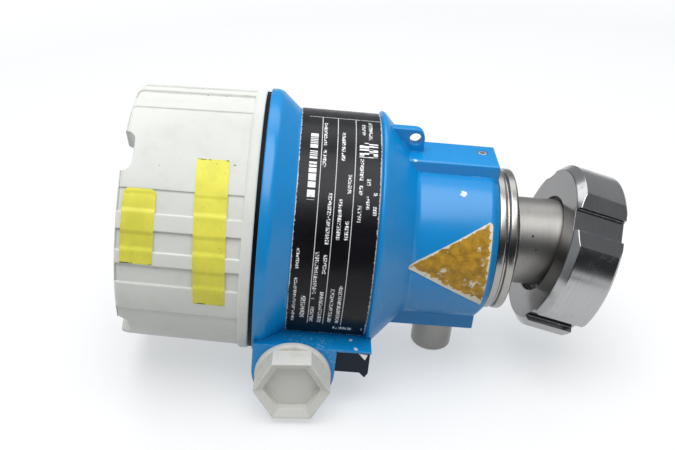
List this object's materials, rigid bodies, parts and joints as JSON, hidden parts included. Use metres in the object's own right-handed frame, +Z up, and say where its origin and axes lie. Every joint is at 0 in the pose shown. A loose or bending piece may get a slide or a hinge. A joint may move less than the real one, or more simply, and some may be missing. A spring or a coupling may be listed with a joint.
{
  "type": "pressure transmitter",
  "caption": "Industrial pressure transmitter: cast housing with screw lid, cable entries and vent filter, a turned sensor neck with a conical liner and a slotted union nut.",
  "frame": {"origin": "centre of the flat process face at the end of the liner, where the isolating diaphragm lies", "axes": "+X along the instrument from the lid out of the process face, +Z up as it lies on its cable chin and vent cap, -Y towards the blind plug"},
  "size_m": [0.1978, 0.1277, 0.1129],
  "materials": {
    "blue_paint": "satin powder coat with small chips",
    "grey_paint": "satin light grey coat",
    "seal_rubber": "matte",
    "plate_black": "printed foil, satin",
    "plug_plastic": "moulded, slightly dirty",
    "gland_plastic": "moulded",
    "terminal_dark": "moulded",
    "screw_steel": "plain",
    "turned_steel": "fine turned",
    "liner_steel": "ground and polished",
    "nut_steel": "turned, scuffed",
    "membrane_white": "porous",
    "module_plastic": "potted module",
    "terminal_green": "moulded",
    "tape_yellow": "blank adhesive tape",
    "sticker_ochre": "blank worn sticker"
  },
  "bodies": {
    "housing": {"housing": "blue_paint", "lid_seal": "seal_rubber", "nameplate": "plate_black", "gland_body": "gland_plastic", "gland_seal": "seal_rubber", "gland_insert": "seal_rubber", "ground_block": "terminal_dark", "ground_clamp": "screw_steel", "ground_screw": "screw_steel", "vent_cap": "turned_steel", "vent_seal": "seal_rubber", "vent_membrane": "membrane_white", "lock_screw": "screw_steel", "electronics_module": "module_plastic", "module_screws": "screw_steel", "terminal_block": "terminal_green", "terminal_screws": "screw_steel", "sensor_lead": "module_plastic"},
    "lid": {"lid": "grey_paint"},
    "process_connection": {"sensor_plug": "terminal_dark", "measuring_cell": "turned_steel", "sensor_body": "turned_steel", "first_o_ring": "seal_rubber", "second_o_ring": "seal_rubber", "process_liner": "liner_steel", "isolating_diaphragm": "liner_steel"},
    "union_nut": {"union_nut": "nut_steel"},
    "blind_plug": {"blind_plug": "plug_plastic", "blind_plug_seal": "seal_rubber"},
    "gland_nut": {"gland_nut": "gland_plastic"}
  },
  "joints": [
    {"name": "lid_turn", "type": "hinge", "parent": "housing", "child": "lid", "pos_m": [-0.16, 0, 0], "axis": [1, 0, 0], "continuous": true},
    {"name": "sensor_turn", "type": "hinge", "parent": "housing", "child": "process_connection", "pos_m": [-0.04, 0, 0], "axis": [1, 0, 0], "range_deg": [-190, 190]},
    {"name": "nut_spin", "type": "hinge", "parent": "housing", "child": "union_nut", "pos_m": [-0.025, 0, -0.0006], "axis": [0.9724, 0, -0.2334], "continuous": true},
    {"name": "plug_turn", "type": "hinge", "parent": "housing", "child": "blind_plug", "pos_m": [-0.125, -0.047, -0.0425], "axis": [0, 1, 0], "continuous": true},
    {"name": "gland_nut_turn", "type": "hinge", "parent": "housing", "child": "gland_nut", "pos_m": [-0.125, 0.06, -0.0425], "axis": [0, 1, 0], "continuous": true}
  ]
}
